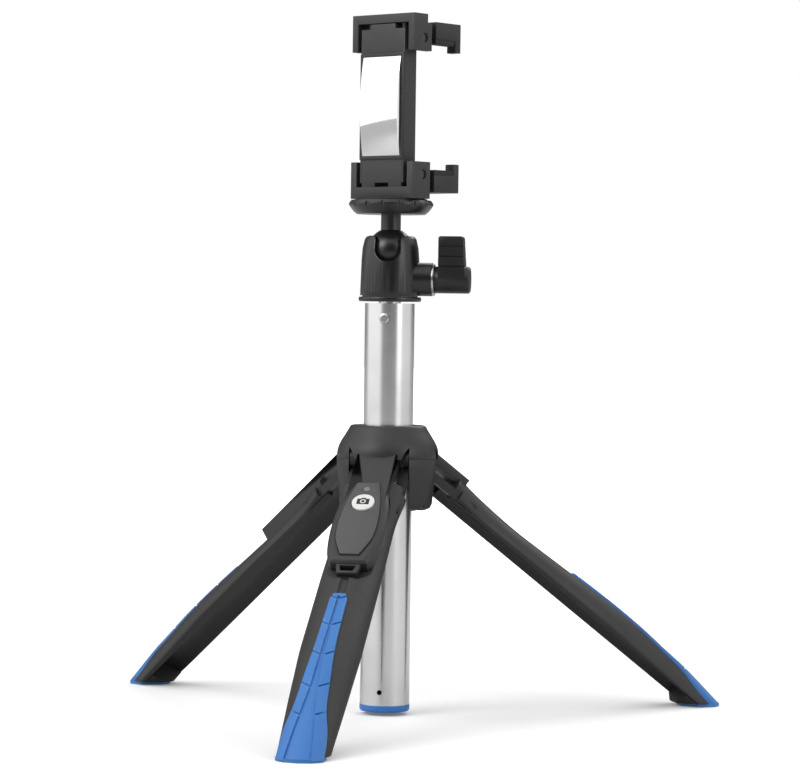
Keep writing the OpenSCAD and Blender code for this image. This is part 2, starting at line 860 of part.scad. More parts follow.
// The knob's wing: it narrows upwards and leans back at its outer face
module wing() {
    intersection() {
        rotate([90, 0, 0])
            translate([0, 0, -far / 2])
                linear_extrude(far)
                    polygon([[1.6, 0], [1.6, wing_reach - 0.6], [2.2, wing_reach],
                        [10.8, wing_reach], [11.4, wing_reach - 0.6], [12.4, 0]]);
        rotate([90, 0, 90])
            linear_extrude(far)
                polygon([[-knob_r, 0], [-4.6, wing_reach], [4.6, wing_reach], [knob_r, 0]]);
    }
}

module ball_stud() {
    color(satin_black)
        difference() {
            union() {
                translate([0, 0, ball_z]) sphere(r = ball_r);
                translate([0, 0, ball_z]) cylinder(r = stem_d / 2, h = ring_z - ball_z - set_gap);
            }
            translate([0, 0, ring_z - 6]) cylinder(r = screw_d / 2, h = 7);
        }
}

module camera_screw() {
    color(silver)
        translate([0, 0, ring_z - 5.8])
            cylinder(r = screw_d / 2 - set_gap, h = 5.8 + ring_h + pad_t + base_t - 0.4);
}

module thumb_ring() {
    notch_count = 16;
    ring_r = ring_d / 2;
    color(satin_black)
        difference() {
            translate([0, 0, ring_z])
                rotate_extrude()
                    polygon([[screw_d / 2 + run_gap, 0], [ring_r - 3.1, 0], [ring_r - 1.9, 1],
                        [ring_r - 0.7, 2.5], [ring_r, ring_h - 2], [ring_r, ring_h - 1.2],
                        [ring_r - 0.9, ring_h], [screw_d / 2 + run_gap, ring_h]]);
            for (i = [0 : notch_count - 1])
                rotate([0, 0, i * 360 / notch_count])
                    translate([ring_r + 0.4, 0, ring_z + 1]) cylinder(r = 1, h = ring_h);
        }
}

module platform_pad() {
    color(charcoal * 0.6)
        tube(ring_d / 2 - 2.5, screw_d / 2 + 0.2, pad_z + set_gap, pad_z + pad_t - set_gap);
}

// ---------- phone clamp: x across, y backwards from the front face ----------

module place_clamp() {
    rotate([0, 0, clamp_yaw]) children();
}

module clamp_body() {
    tab_half = 6.3;
    color(charcoal * 1.3)
        place_clamp()
            difference() {
                union() {
                    block([-body_half, face_y, body_bottom_z],
                        [body_half, face_y + body_t, body_top_z]);
                    block([-tab_half, face_y, body_top_z - 1],
                        [tab_half, face_y + body_t, body_top_z + 2]);
                    for (side = [-1, 1])
                        block([side * 7 - 3.4, face_y, body_bottom_z - 1.7],
                            [side * 7 + 3.4, face_y + body_t, body_bottom_z + 1]);
                }
                block([-mirror_w / 2 - 0.1, face_y - 1, mid_z - mirror_h / 2 - 0.1],
                    [mirror_w / 2 + 0.1, face_y + 0.8, mid_z + mirror_h / 2 + 0.1]);
                for (side = [-1, 1])
                    translate([side * rod_x, rod_y, body_bottom_z + 2])
                        cylinder(r = rod_r + run_gap, h = far);
                translate([0, rod_y, body_bottom_z + 3]) cylinder(r = spring_r + 0.6, h = far);
            }
}

module mirror_bezel() {
    color(charcoal)
        place_clamp()
            difference() {
                block([-body_half, face_y - 0.6, mid_z - mirror_h / 2 - 1.4],
                    [body_half, face_y - set_gap, mid_z + mirror_h / 2 + 1.4]);
                block([-mirror_w / 2 - 0.1, face_y - 2, mid_z - mirror_h / 2 - 0.1],
                    [mirror_w / 2 + 0.1, face_y + 1, mid_z + mirror_h / 2 + 0.1]);
            }
}

module mirror_glass() {
    half = mirror_h / 2;
    bend_r = (half * half + mirror_bulge * mirror_bulge) / (2 * mirror_bulge);
    color([0.9, 0.92, 0.93])
        place_clamp()
            intersection() {
                block([-mirror_w / 2, face_y - 3, mid_z - half],
                    [mirror_w / 2, face_y + 0.7, mid_z + half]);
                translate([0, face_y - 0.6 + bend_r - mirror_bulge, mid_z])
                    rotate([0, 90, 0])
                        cylinder(r = bend_r, h = mirror_w + 1, center = true, $fn = 180);
            }
}

// side is 1 for the upper bracket and -1 for the lower one
module bracket(side, end_t, end_depth) {
    place_clamp()
        translate([0, 0, mid_z])
            mirror([0, 0, side > 0 ? 0 : 1])
                difference() {
                    union() {
                        block([-ear_out, face_y, jaw_half - end_t],
                            [ear_out, face_y + end_depth, jaw_half]);
                        for (x = [-ear_out, ear_in])
                            block([x, face_y, jaw_half - ear_l],
                                [x + ear_t, face_y + ear_depth, jaw_half - end_t + eps]);
                    }
                    translate([0, arm_pivot_y, pivot_rise]) {
                        rod_x_axis(stub_r + set_gap, ear_out + 1);
                        for (x = [-1, 1])
                            translate([x * ear_out, 0, 0]) rod_x_axis(1.95, 1.2);
                    }
                }
}

module lower_bracket() {
    color(charcoal * 1.3)
        difference() {
            bracket(-1, base_t, ear_depth);
            translate([0, 0, bracket_z - 1]) cylinder(r = screw_d / 2 + run_gap, h = base_t + 2);
        }
}

module upper_bracket() {
    color(charcoal * 1.3)
        difference() {
            bracket(1, bar_t, 8.5);
            place_clamp()
                for (side = [-1, 1])
                    translate([side * rod_x, rod_y, mid_z + jaw_half - bar_t - 1])
                        cylinder(r = rod_r, h = 3);
        }
}

module guide_rods() {
    color(silver)
        place_clamp()
            for (side = [-1, 1])
                translate([side * rod_x, rod_y, body_bottom_z + 4])
                    cylinder(r = rod_r - set_gap, h = body_top_z - body_bottom_z + 0.3);
}

module clamp_spring() {
    low = body_bottom_z + 3.3;
    high = mid_z + jaw_half - bar_t - 0.2;
    per_turn = 8;
    steps = spring_turns * per_turn;
    sides = 6;
    color(silver)
        place_clamp()
            translate([0, rod_y, 0])
                skin([for (i = [0 : steps])
                    let (turn = 360 * i / per_turn,
                        z = low + wire_r + (high - low - 2 * wire_r) * i / steps)
                    [for (j = [0 : sides - 1])
                        let (a = -360 * j / sides, r = spring_r + wire_r * cos(a))
                        [r * cos(turn), r * sin(turn), z + wire_r * sin(a)]]]);
}

// An arm about its pivot: y backwards, z away from the phone gap
module arm_form() {
    for (side = [-1, 1]) {
        mirror([side > 0 ? 0 : 1, 0, 0]) {
            difference() {
                union() {
                    translate([body_half + 0.2 + arm_root / 2, 0, 0])
                        rod_x_axis(4.4, arm_root / 2);
                    block([body_half + 0.2, 0, -3], [body_half + 0.2 + arm_root, arm_start, 4.4]);
                    block([body_half + 0.2, arm_start - 1, 0],
                        [body_half + 0.2 + arm_root, arm_start + 1, 4.4]);
                }
                rod_x_axis(stub_r + run_gap, far);
            }
            block([body_half + 0.2, arm_start, 0], [ear_out, arm_l, arm_high - 0.1]);
            block([body_half + 0.2, arm_l - lip_t, lip_low], [ear_out, arm_l, 1]);
        }
    }
    block([-ear_out, arm_start, plate_low], [ear_out, arm_l, arm_high]);
}

module pads_form() {
    tooth_r = 1.1;
    count = floor((arm_l - lip_t - arm_start - 0.4) / tooth_pitch);
    for (side = [-1, 1])
        mirror([side > 0 ? 0 : 1, 0, 0]) {
            block([body_half + 0.4, arm_start + 0.1, -1.1],
                [ear_out - 0.3, arm_l - lip_t - 0.1, -set_gap]);
            for (i = [0 : count - 1])
                translate([(body_half + ear_out) / 2 + 0.05,
                    arm_start + 1.3 + i * tooth_pitch, tooth_low + tooth_r])
                    rotate([0, 90, 0])
                        cylinder(r = tooth_r, h = ear_out - body_half - 0.7, center = true, $fn = 24);
        }
}

module place_arm(side) {
    place_clamp()
        translate([0, arm_pivot_y, mid_z + side * pivot_rise])
            mirror([0, 0, side > 0 ? 0 : 1])
                children();
}

module arm_pins() {
    for (side = [-1, 1])
        mirror([side > 0 ? 0 : 1, 0, 0])
            translate([body_half + 0.2, 0, 0])
                rotate([0, 90, 0]) {
                    cylinder(r = stub_r, h = ear_in + ear_t - 1.2 - body_half - 0.2);
                    translate([0, 0, ear_in + ear_t - 1.2 - body_half - 0.2])
                        cylinder(r = 1.9, h = 0.5);
                }
}

module upper_arm() { color(charcoal) place_arm(1) arm_form(); }
module lower_arm() { color(charcoal) place_arm(-1) arm_form(); }
module upper_pads() { color(satin_black) place_arm(1) pads_form(); }
module lower_pads() { color(satin_black) place_arm(-1) pads_form(); }
module upper_arm_pins() { color(grey) place_arm(1) arm_pins(); }
module lower_arm_pins() { color(grey) place_arm(-1) arm_pins(); }

hub_cap();
hub_lobes();
hub_bush();
hub_screws();
leg_pins();
place_leg(leg_azimuths[0]) leg_shell(true);  // leg_shell_front
place_leg(leg_azimuths[0]) leg_liner();  // leg_liner_front
place_leg(leg_azimuths[0]) leg_grip();  // leg_grip_front
place_leg(leg_azimuths[1]) leg_shell(false);  // leg_shell_right
place_leg(leg_azimuths[1]) leg_liner();  // leg_liner_right
place_leg(leg_azimuths[1]) leg_grip();  // leg_grip_right
place_leg(leg_azimuths[2]) leg_shell(false);  // leg_shell_left
place_leg(leg_azimuths[2]) leg_liner();  // leg_liner_left
place_leg(leg_azimuths[2]) leg_grip();  // leg_grip_left
remote_case_base();
remote_case_top();
remote_face_plate();
remote_circuit_board();
remote_coin_cell();
remote_led();
remote_button();
pole_tube(1);  // pole_tube_1
pole_tube(2);  // pole_tube_2
pole_tube(3);  // pole_tube_3
pole_tube(4);  // pole_tube_4
pole_tube(5);  // pole_tube_5
pole_bushes(1);  // pole_bush_1
pole_bushes(2);  // pole_bushes_2
pole_bushes(3);  // pole_bushes_3
pole_bushes(4);  // pole_bushes_4
pole_bushes(5);  // pole_sleeve_5
pole_foot_plug();
tube_button();
pole_top_plug();
head_screw();
base_flange();
pan_washer();
ball_housing();
ball_cup();
knob();
knob_stud();
knob_washer();
ball_stud();
thumb_ring();
platform_pad();
camera_screw();
clamp_body();
mirror_bezel();
mirror_glass();  // mirror
lower_bracket();
upper_bracket();
guide_rods();
clamp_spring();
upper_arm();
lower_arm();
upper_arm_pins();
lower_arm_pins();
upper_pads();
lower_pads();
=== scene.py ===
import json
import math

import bpy
from mathutils import Matrix, Vector


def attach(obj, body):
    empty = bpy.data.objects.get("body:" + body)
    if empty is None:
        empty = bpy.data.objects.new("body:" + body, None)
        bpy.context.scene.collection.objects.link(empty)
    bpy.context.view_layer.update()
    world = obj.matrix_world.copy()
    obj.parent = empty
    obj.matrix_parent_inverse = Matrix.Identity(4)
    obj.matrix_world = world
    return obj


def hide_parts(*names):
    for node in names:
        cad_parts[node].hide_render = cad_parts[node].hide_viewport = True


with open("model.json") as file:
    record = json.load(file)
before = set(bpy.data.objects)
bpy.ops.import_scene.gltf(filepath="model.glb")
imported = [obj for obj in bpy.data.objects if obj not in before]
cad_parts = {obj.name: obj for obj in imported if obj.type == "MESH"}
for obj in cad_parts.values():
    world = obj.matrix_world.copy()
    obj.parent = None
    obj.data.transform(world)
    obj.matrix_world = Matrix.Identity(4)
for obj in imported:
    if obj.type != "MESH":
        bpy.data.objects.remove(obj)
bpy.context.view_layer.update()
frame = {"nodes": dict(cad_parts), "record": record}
mm = 0.001
nodeBody = {n: b for b, ns in frame["record"]["behaviour"]["bodies"].items() for n in ns}
nodeSlot = {p["node"]: p["material_slot"] for p in frame["record"]["subparts"]}


# ---- hand tools ----
def selectOnly(obj):
    if bpy.context.mode != "OBJECT":
        bpy.ops.object.mode_set(mode="OBJECT")
    bpy.ops.object.select_all(action="DESELECT")
    obj.select_set(True)
    bpy.context.view_layer.objects.active = obj


def beginEdit(obj, selectMode="VERT"):
    selectOnly(obj)
    bpy.ops.object.mode_set(mode="EDIT")
    bpy.ops.mesh.select_mode(type=selectMode)
    bpy.ops.mesh.select_all(action="SELECT")


def endEdit():
    bpy.ops.object.mode_set(mode="OBJECT")


def pickFaces(obj, test):
    # leaves edit mode with only the faces that pass the test selected
    beginEdit(obj, "FACE")
    bpy.ops.mesh.select_all(action="DESELECT")
    endEdit()
    for face in obj.data.polygons:
        face.select = test(face.center / mm, face.normal)
    bpy.ops.object.mode_set(mode="EDIT")


def pickPoints(obj, test):
    beginEdit(obj, "VERT")
    bpy.ops.mesh.select_all(action="DESELECT")
    endEdit()
    for point in obj.data.vertices:
        point.select = test(point.co / mm)
    bpy.ops.object.mode_set(mode="EDIT")


def tidyMesh(obj, weld=0.004):
    beginEdit(obj)
    bpy.ops.mesh.remove_doubles(threshold=weld * mm)
    bpy.ops.mesh.normals_make_consistent(inside=False)
    endEdit()


def loft(name, rings, sides=48):
    # a disc drawn out through rings of centre x, y, z and half widths x, y
    bpy.ops.object.select_all(action="DESELECT")
    bpy.ops.mesh.primitive_circle_add(vertices=sides, radius=mm, fill_type="NGON", location=(0, 0, 0))
    obj = bpy.context.active_object
    obj.name = name
    beginEdit(obj)
    first = rings[0]
    bpy.ops.transform.resize(value=(first[3], first[4], 1), center_override=(0, 0, 0))
    bpy.ops.transform.translate(value=[c * mm for c in first[:3]])
    for before, after in zip(rings, rings[1:]):
        step = [(after[i] - before[i]) * mm for i in range(3)]
        bpy.ops.mesh.extrude_region_move(TRANSFORM_OT_translate={"value": step})
        bpy.ops.transform.resize(value=(after[3] / before[3], after[4] / before[4], 1),
                                 center_override=[c * mm for c in after[:3]])
    endEdit()
    tidyMesh(obj)
    return obj


def turned(name, profile, sides=96):
    # a closed profile of radius and height, turned about the pole's axis
    bpy.ops.object.select_all(action="DESELECT")
    bpy.ops.mesh.primitive_circle_add(vertices=sides, radius=profile[0][0] * mm, fill_type="NOTHING",
                                      location=(0, 0, profile[0][1] * mm))
    obj = bpy.context.active_object
    obj.name = name
    placeInMesh(obj)
    beginEdit(obj, "EDGE")
    for before, after in zip(profile, profile[1:] + profile[:1]):
        bpy.ops.mesh.extrude_region_move(
            TRANSFORM_OT_translate={"value": (0, 0, (after[1] - before[1]) * mm)})
        ratio = after[0] / before[0]
        bpy.ops.transform.resize(value=(ratio, ratio, 1), center_override=(0, 0, after[1] * mm))
    endEdit()
    tidyMesh(obj)
    return obj


def slab(name, low, high):
    # a box between two corners, in millimetres
    bpy.ops.object.select_all(action="DESELECT")
    bpy.ops.mesh.primitive_cube_add(size=1, location=[(a + b) / 2 * mm for a, b in zip(low, high)],
                                    scale=[(b - a) * mm for a, b in zip(low, high)])
    obj = bpy.context.active_object
    obj.name = name
    placeInMesh(obj)
    return obj


def rod(name, start, end, radius, sides=48):
    along = Vector(end) - Vector(start)
    bpy.ops.object.select_all(action="DESELECT")
    bpy.ops.mesh.primitive_cylinder_add(vertices=sides, radius=radius * mm, depth=along.length * mm,
                                        location=(Vector(start) + along / 2) * mm,
                                        rotation=along.to_track_quat("Z", "Y").to_euler())
    obj = bpy.context.active_object
    obj.name = name
    placeInMesh(obj)
    return obj


def placeInMesh(obj, matrix=None):
    selectOnly(obj)
    if matrix is not None:
        obj.matrix_world = matrix @ obj.matrix_world
        bpy.context.view_layer.update()
    bpy.ops.object.transform_apply(location=True, rotation=True, scale=True)


def applyModifier(obj, kind, **settings):
    selectOnly(obj)
    tool = obj.modifiers.new(kind.lower(), kind)
    for key, value in settings.items():
        setattr(tool, key, value)
    bpy.ops.object.modifier_apply(modifier=tool.name)


def carve(obj, cutter, operation="DIFFERENCE"):
    applyModifier(obj, "BOOLEAN", operation=operation, object=cutter, solver="EXACT")
    bpy.data.objects.remove(cutter, do_unlink=True)


def copyOf(obj, name):
    selectOnly(obj)
    bpy.ops.object.duplicate(linked=False)
    twin = bpy.context.active_object
    twin.name = name
    return twin


def easeEdges(obj, width, segments=2, angle=32, smooth=38):
    applyModifier(obj, "BEVEL", width=width * mm, segments=segments, limit_method="ANGLE",
                  angle_limit=math.radians(angle), use_clamp_overlap=True, harden_normals=False)
    selectOnly(obj)
    bpy.ops.object.shade_smooth_by_angle(angle=math.radians(smooth))


def finishPiece(obj, material, *nodes):
    obj.data.materials.clear()
    obj.data.materials.append(material)
    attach(obj, nodeBody[nodes[0]])
    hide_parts(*nodes)
    return obj


def softened(node, material, width=0.3, segments=2, angle=32, smooth=38, flatten=True):
    # a welded copy of a CAD node with eased edges
    twin = copyOf(frame["nodes"][node], node + "_soft")
    twin.parent = None
    twin.matrix_world = Matrix.Identity(4)
    beginEdit(twin)
    bpy.ops.mesh.remove_doubles(threshold=0.002 * mm)
    if flatten:
        bpy.ops.mesh.dissolve_limited(angle_limit=math.radians(0.5))
    endEdit()
    selectOnly(twin)
    bpy.ops.mesh.customdata_custom_splitnormals_clear()
    easeEdges(twin, width, segments, angle, smooth)
    return finishPiece(twin, material, node)


# ---- finishes ----
def newGroup(name, inputs, outputs):
    tree = bpy.data.node_groups.new(name, "ShaderNodeTree")
    for label, kind, value in inputs:
        socket = tree.interface.new_socket(label, in_out="INPUT", socket_type=kind)
        socket.default_value = value
    for label, kind in outputs:
        tree.interface.new_socket(label, in_out="OUTPUT", socket_type=kind)
    return tree, tree.nodes.new("NodeGroupInput"), tree.nodes.new("NodeGroupOutput")


def addNode(tree, kind, links=(), **settings):
    node = tree.nodes.new(kind)
    for key, value in settings.items():
        setattr(node, key, value)
    for socket, source in links:
        if isinstance(source, bpy.types.NodeSocket):
            tree.links.new(source, node.inputs[socket])
        else:
            node.inputs[socket].default_value = source
    return node


def mouldGrainGroup():
    # fine spark texture over slow flow marks, as a height
    tree, given, out = newGroup("mouldGrain",
                                [("Scale", "NodeSocketFloat", 2500.0), ("Flow", "NodeSocketFloat", 0.3)],
                                [("Height", "NodeSocketFloat"), ("Tone", "NodeSocketFloat")])
    place = addNode(tree, "ShaderNodeTexCoord")
    fine = addNode(tree, "ShaderNodeTexNoise", [("Vector", place.outputs["Object"]),
                                                ("Scale", given.outputs["Scale"]), ("Detail", 3.0)])
    slow = addNode(tree, "ShaderNodeTexNoise", [("Vector", place.outputs["Object"]),
                                                ("Scale", 60.0), ("Detail", 4.0)])
    flow = addNode(tree, "ShaderNodeMath", [(0, slow.outputs[0]), (1, given.outputs["Flow"])],
                   operation="MULTIPLY")
    total = addNode(tree, "ShaderNodeMath", [(0, fine.outputs[0]), (1, flow.outputs[0])],
                    operation="ADD")
    tree.links.new(total.outputs[0], out.inputs["Height"])
    tree.links.new(slow.outputs[0], out.inputs["Tone"])
    return tree


def edgeWearGroup():
    # bright worn spots on convex edges, broken up by noise
    tree, given, out = newGroup("edgeWear",
                                [("Amount", "NodeSocketFloat", 0.4), ("Threshold", "NodeSocketFloat", 0.54)],
                                [("Mask", "NodeSocketFloat")])
    shape = addNode(tree, "ShaderNodeNewGeometry")
    place = addNode(tree, "ShaderNodeTexCoord")
    noise = addNode(tree, "ShaderNodeTexNoise", [("Vector", place.outputs["Object"]),
                                                 ("Scale", 420.0), ("Detail", 5.0)])
    over = addNode(tree, "ShaderNodeMath", [(0, shape.outputs["Pointiness"]),
                                            (1, given.outputs["Threshold"])], operation="SUBTRACT")
    gain = addNode(tree, "ShaderNodeMath", [(0, over.outputs[0]), (1, 14.0)], operation="MULTIPLY")
    gain.use_clamp = True
    broken = addNode(tree, "ShaderNodeMath", [(0, gain.outputs[0]), (1, noise.outputs[0])],
                     operation="MULTIPLY")
    scaled = addNode(tree, "ShaderNodeMath", [(0, broken.outputs[0]), (1, given.outputs["Amount"])],
                     operation="MULTIPLY")
    scaled.use_clamp = True
    tree.links.new(scaled.outputs[0], out.inputs["Mask"])
    return tree


def dustFilmGroup():
    # a thin uneven film on faces that look up
    tree, given, out = newGroup("dustFilm", [("Amount", "NodeSocketFloat", 0.1)],
                                [("Mask", "NodeSocketFloat")])
    shape = addNode(tree, "ShaderNodeNewGeometry")
    split = addNode(tree, "ShaderNodeSeparateXYZ", [(0, shape.outputs["Normal"])])
    place = addNode(tree, "ShaderNodeTexCoord")
    noise = addNode(tree, "ShaderNodeTexNoise", [("Vector", place.outputs["Object"]),
                                                 ("Scale", 180.0), ("Detail", 6.0)])
    up = addNode(tree, "ShaderNodeMapRange", [("Value", split.outputs["Z"]), ("From Min", -0.2),
                                              ("From Max", 1.0)])
    both = addNode(tree, "ShaderNodeMath", [(0, up.outputs[0]), (1, noise.outputs[0])],
                   operation="MULTIPLY")
    scaled = addNode(tree, "ShaderNodeMath", [(0, both.outputs[0]), (1, given.outputs["Amount"])],
                     operation="MULTIPLY")
    scaled.use_clamp = True
    tree.links.new(scaled.outputs[0], out.inputs["Mask"])
    return tree


def drawnLinesGroup():
    # fine lines along the pole, as drawing a tube leaves them
    tree, given, out = newGroup("drawnLines",
                                [("Stretch", "NodeSocketVector", (2600.0, 2600.0, 30.0))],
                                [("Height", "NodeSocketFloat")])
    place = addNode(tree, "ShaderNodeTexCoord")
    scaled = addNode(tree, "ShaderNodeVectorMath", [(0, place.outputs["Object"]),
                                                    (1, given.outputs["Stretch"])],
                     operation="MULTIPLY")
    noise = addNode(tree, "ShaderNodeTexNoise", [("Vector", scaled.outputs[0]), ("Scale", 1.0),
                                                 ("Detail", 3.0)])
    tree.links.new(noise.outputs[0], out.inputs["Height"])
    return tree


groups = {"grain": mouldGrainGroup(), "wear": edgeWearGroup(), "dust": dustFilmGroup(),
          "lines": drawnLinesGroup()}


def useGroup(tree, key, **values):
    node = tree.nodes.new("ShaderNodeGroup")
    node.node_tree = groups[key]
    for label, value in values.items():
        node.inputs[label].default_value = value
    return node


def blendColor(tree, mask, under, over):
    mix = addNode(tree, "ShaderNodeMix", data_type="RGBA")
    tree.links.new(mask, mix.inputs[0])
    for socket, source in ((6, under), (7, over)):
        if isinstance(source, bpy.types.NodeSocket):
            tree.links.new(source, mix.inputs[socket])
        else:
            mix.inputs[socket].default_value = (*source, 1)
    return mix.outputs[2]


def makeFinish(name, look):
    made = bpy.data.materials.new(name)
    made.use_nodes = True
    tree = made.node_tree
    shader = tree.nodes["Principled BSDF"]
    metal = look.get("metal", 0.0)
    if look.get("lines"):
        height = useGroup(tree, "lines", Stretch=look["lines"]).outputs["Height"]
        tone = useGroup(tree, "grain", Scale=900.0).outputs["Tone"]
    else:
        grain = useGroup(tree, "grain", Scale=look["grain"], Flow=look.get("flow", 0.3))
        height, tone = grain.outputs["Height"], grain.outputs["Tone"]
    wear = useGroup(tree, "wear", Amount=look.get("wear", 0.3), Threshold=look.get("edge", 0.54))
    dust = useGroup(tree, "dust", Amount=look.get("dust", 0.08))
    base = look["color"]
    shade = blendColor(tree, tone, [c * 0.86 for c in base], [min(1, c * 1.14) for c in base])
    shade = blendColor(tree, wear.outputs["Mask"], shade, look.get("worn", [c * 1.9 for c in base]))
    shade = blendColor(tree, dust.outputs["Mask"], shade, look.get("dustColor", (0.35, 0.34, 0.33)))
    tree.links.new(shade, shader.inputs["Base Color"])
    rough = addNode(tree, "ShaderNodeMapRange", [("Value", tone), ("From Min", 0.3), ("From Max", 0.7),
                                                 ("To Min", look["rough"][0]),
                                                 ("To Max", look["rough"][1])])
    tree.links.new(rough.outputs[0], shader.inputs["Roughness"])
    bump = addNode(tree, "ShaderNodeBump", [("Height", height), ("Strength", look.get("bump", 0.25)),
                                            ("Distance", look.get("depth", 0.00004))])
    tree.links.new(bump.outputs[0], shader.inputs["Normal"])
    shader.inputs["Metallic"].default_value = metal
    shader.inputs["Specular IOR Level"].default_value = look.get("specular", 0.5)
    if look.get("coat"):
        shader.inputs["Coat Weight"].default_value = look["coat"]
        shader.inputs["Coat Roughness"].default_value = look.get("coatRough", 0.15)
    if look.get("sheen"):
        shader.inputs["Sheen Weight"].default_value = look["sheen"]
    made.diffuse_color = (*base, 1)
    return made


finishes = {
    "charcoal_plastic": {"color": (0.021, 0.0195, 0.0195), "rough": (0.4, 0.52), "grain": 3000.0,
                         "bump": 0.35, "wear": 0.3, "dust": 0.05},
    "liner_plastic": {"color": (0.010, 0.010, 0.010), "rough": (0.4, 0.52), "grain": 2400.0,
                      "bump": 0.25, "wear": 0.2, "dust": 0.03},
    "bush_plastic": {"color": (0.16, 0.16, 0.165), "rough": (0.4, 0.5), "grain": 2600.0},
    "steel": {"color": (0.62, 0.62, 0.63), "rough": (0.22, 0.34), "metal": 1.0,
              "lines": (900.0, 900.0, 900.0), "bump": 0.1, "worn": (0.8, 0.8, 0.8)},
    "blue_rubber": {"color": (0.022, 0.165, 0.50), "rough": (0.42, 0.55), "grain": 2200.0,
                    "bump": 0.3, "wear": 0.25, "worn": (0.2, 0.45, 0.8), "dust": 0.05,
                    "sheen": 0.15},
    "face_plastic": {"color": (0.062, 0.062, 0.063), "rough": (0.3, 0.4), "grain": 2600.0,
                     "bump": 0.2, "dust": 0.03},
    "board": {"color": (0.02, 0.12, 0.05), "rough": (0.3, 0.4), "grain": 1500.0},
    "white_plastic": {"color": (0.78, 0.78, 0.77), "rough": (0.25, 0.35), "grain": 1500.0,
                      "bump": 0.1, "worn": (0.9, 0.9, 0.9), "dust": 0.05},
    "satin_aluminium": {"color": (0.84, 0.84, 0.85), "rough": (0.2, 0.27), "metal": 1.0,
                        "lines": (2600.0, 2600.0, 25.0), "bump": 0.12, "depth": 0.00002,
                        "worn": (0.85, 0.85, 0.85), "dust": 0.03},
    "black_metal": {"color": (0.007, 0.007, 0.0074), "rough": (0.26, 0.36), "grain": 2200.0,
                    "bump": 0.15, "wear": 0.35, "worn": (0.12, 0.12, 0.12), "coat": 0.25,
                    "coatRough": 0.3, "dust": 0.03},
    "knob_plastic": {"color": (0.009, 0.009, 0.0095), "rough": (0.34, 0.44), "grain": 2400.0,
                     "bump": 0.2, "wear": 0.3, "dust": 0.04},
    "pad_rubber": {"color": (0.014, 0.014, 0.014), "rough": (0.6, 0.75), "grain": 1800.0,
                   "bump": 0.4, "dust": 0.06},
    "clamp_plastic": {"color": (0.034, 0.032, 0.032), "rough": (0.45, 0.56), "grain": 2800.0,
                      "bump": 0.35, "wear": 0.3, "dust": 0.04},
    "mirror": {"color": (0.92, 0.93, 0.94), "rough": (0.03, 0.06), "metal": 1.0, "grain": 200.0,
               "bump": 0.0, "wear": 0.0, "dust": 0.02, "dustColor": (0.8, 0.8, 0.8)},
}
paint = {key: makeFinish(key, look) for key, look in finishes.items()}
# pieces that look unlike the rest of their slot
visualFinish = {"remote_led": "bush_plastic", "hub_screws": "black_metal",
                "leg_pins": "black_metal"}
for node, obj in frame["nodes"].items():
    obj.data.materials.clear()
    obj.data.materials.append(paint[visualFinish.get(node, nodeSlot[node])])
print("finishes ready")

# ---- legs ----
leg = {
    "length": 167.7, "open": 52.0, "pivotOut": 12.0, "pivotUp": 103.246, "channel": 10.45,
    "liner": 12.02, "linerAngle": 54.0, "sideAngle": 60.0, "sideGap": 0.25,
    "shoulder": 17.7, "heel": 151.78, "soleLift": 1.2, "rings": 46,
    # share of the length, half width, thickness over the channel
    "stations": [(0.09, 14.5, 6.85), (0.15, 12.9, 5.45), (0.21, 11.7, 4.75), (0.305, 11.8, 4.25),
                 (0.4, 12.0, 4.75), (0.5, 12.0, 5.5), (0.58, 12.0, 6.0), (0.65, 12.0, 6.2),
                 (0.73, 11.5, 6.0), (0.8, 11.1, 5.3), (0.87, 10.6, 4.8), (0.95, 10.1, 3.4),
                 (1.05, 9.8, 1.4)],
}
legAngles = {"front": 0, "right": 120, "left": -120}


def legPlace(azimuth):
    return (Matrix.Rotation(math.radians(azimuth), 4, "Z")
            @ Matrix.Translation((0, -leg["pivotOut"] * mm, leg["pivotUp"] * mm))
            @ Matrix.Rotation(math.radians(-leg["open"]), 4, "X")
            @ Matrix.Translation((0, leg["pivotOut"] * mm, 0)))


def eased(table, k, column):
    # smooth curve through the rows of a table
    rows = [table[0]] + list(table) + [table[-1]]
    for i in range(1, len(rows) - 2):
        a, b = rows[i], rows[i + 1]
        if k <= b[0] or i == len(rows) - 3:
            t = max(0.0, min(1.0, (k - a[0]) / (b[0] - a[0])))
            sa = (b[column] - rows[i - 1][column]) / max(1e-6, b[0] - rows[i - 1][0])
            sb = (rows[i + 2][column] - a[column]) / max(1e-6, rows[i + 2][0] - a[0])
            h = b[0] - a[0]
            return ((2 * t**3 - 3 * t**2 + 1) * a[column] + (t**3 - 2 * t**2 + t) * h * sa
                    + (3 * t**2 - 2 * t**3) * b[column] + (t**3 - t**2) * h * sb)


def legRing(k, proud=0.0):
    half = eased(leg["stations"], k, 1)
    sideLow = half / math.tan(math.radians(leg["sideAngle"])) + leg["sideGap"] / math.sin(
        math.radians(leg["sideAngle"]))
    crest = leg["channel"] + eased(leg["stations"], k, 2)
    return (0, -sideLow, -k * leg["length"], half + proud, crest - sideLow + proud)


def trim(obj, point, normal, fill=True):
    # keeps what lies on the normal's side of a plane
    beginEdit(obj)
    bpy.ops.mesh.bisect(plane_co=[c * mm for c in point], plane_no=normal, use_fill=fill,
                        clear_inner=True)
    endEdit()


def soleNormal():
    a = math.radians(leg["open"])
    return (0, -math.sin(a), math.cos(a))


def trimSole(obj, lift):
    n = soleNormal()
    trim(obj, (0, -leg["pivotOut"] + n[1] * lift, -leg["length"] + n[2] * lift), n)


